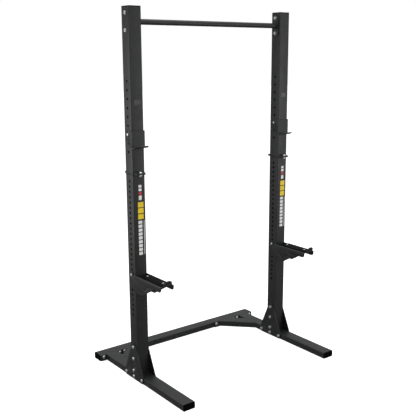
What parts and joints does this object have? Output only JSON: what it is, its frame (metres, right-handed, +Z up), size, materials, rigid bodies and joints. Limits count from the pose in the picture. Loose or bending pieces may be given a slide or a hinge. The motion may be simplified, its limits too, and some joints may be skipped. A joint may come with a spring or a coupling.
{
  "type": "power cage",
  "caption": "Free-standing two-upright rack of black square tube with a pull-up bar, pinned bar hooks, upper bar cups and a U-shaped base.",
  "frame": {"origin": "on the floor, at the middle of the footprint", "axes": "+X along the pull-up bar, to the right as seen from the open front ends of the feet, -Y from the uprights towards the open front ends of the feet, +Z up"},
  "size_m": [1.3, 0.945, 2.215],
  "materials": {
    "powder_coat": "satin fine-texture charcoal powder coat",
    "zinc": "bright zinc plate",
    "chrome": "bright nickel-chrome plate",
    "black_plastic": "fine moulded grain",
    "liner_plastic": "smooth satin, lightly scuffed"
  },
  "bodies": {
    "frame": {"lower_upright_left": "powder_coat", "lower_upright_right": "powder_coat", "upper_upright_left": "powder_coat", "upper_upright_right": "powder_coat", "lower_joint_flange_left": "powder_coat", "lower_joint_flange_right": "powder_coat", "upper_joint_flange_left": "powder_coat", "upper_joint_flange_right": "powder_coat", "foot_left": "powder_coat", "foot_right": "powder_coat", "foot_plate_left": "powder_coat", "foot_plate_right": "powder_coat", "brace_left": "powder_coat", "brace_right": "powder_coat", "brace_plate_left": "powder_coat", "brace_plate_right": "powder_coat", "gusset_outer_left": "powder_coat", "gusset_outer_right": "powder_coat", "gusset_inner_left": "powder_coat", "gusset_inner_right": "powder_coat", "bar_plate_left": "powder_coat", "bar_plate_right": "powder_coat", "cup_left": "powder_coat", "cup_right": "powder_coat", "joint_bolt_front_left": "chrome", "joint_bolt_front_right": "chrome", "joint_bolt_rear_left": "chrome", "joint_bolt_rear_right": "chrome", "gusset_bolt_foot_left": "zinc", "gusset_bolt_foot_right": "zinc", "gusset_bolt_front_left": "zinc", "gusset_bolt_front_right": "zinc", "gusset_bolt_rear_left": "zinc", "gusset_bolt_rear_right": "zinc", "gusset_bolt_low_left": "zinc", "gusset_bolt_low_right": "zinc", "gusset_bolt_middle_left": "zinc", "gusset_bolt_middle_right": "zinc", "gusset_bolt_high_left": "zinc", "gusset_bolt_high_right": "zinc", "bar_bolt_low_left": "zinc", "bar_bolt_low_right": "zinc", "bar_bolt_high_left": "zinc", "bar_bolt_high_right": "zinc", "top_cap_left": "black_plastic", "top_cap_right": "black_plastic", "foot_cap_left": "black_plastic", "foot_cap_right": "black_plastic", "crossmember_cap_left": "black_plastic", "crossmember_cap_right": "black_plastic", "crossmember": "powder_coat", "pull_up_bar": "powder_coat"},
    "hook_left": {"hook_left": "powder_coat", "hook_liner_left": "liner_plastic"},
    "hook_pin_left": {"hook_pin_left": "chrome"},
    "cup_pin_left": {"cup_pin_left": "chrome"},
    "hook_right": {"hook_right": "powder_coat", "hook_liner_right": "liner_plastic"},
    "hook_pin_right": {"hook_pin_right": "chrome"},
    "cup_pin_right": {"cup_pin_right": "chrome"}
  },
  "joints": [
    {"name": "hook_left_tilt", "type": "hinge", "parent": "frame", "child": "hook_left", "pos_m": [-0.565, 0.0425, 0.6718], "axis": [-1, 0, 0], "range_deg": [0, 55]},
    {"name": "hook_pin_left_pull", "type": "slide", "parent": "frame", "child": "hook_pin_left", "axis": [-1, 0, 0], "range_m": [0, 0.1]},
    {"name": "cup_pin_left_pull", "type": "slide", "parent": "frame", "child": "cup_pin_left", "axis": [-1, 0, 0], "range_m": [0, 0.1]},
    {"name": "hook_right_tilt", "type": "hinge", "parent": "frame", "child": "hook_right", "pos_m": [0.565, 0.0425, 0.6718], "axis": [-1, 0, 0], "range_deg": [0, 55]},
    {"name": "hook_pin_right_pull", "type": "slide", "parent": "frame", "child": "hook_pin_right", "axis": [1, 0, 0], "range_m": [0, 0.1]},
    {"name": "cup_pin_right_pull", "type": "slide", "parent": "frame", "child": "cup_pin_right", "axis": [1, 0, 0], "range_m": [0, 0.1]}
  ]
}
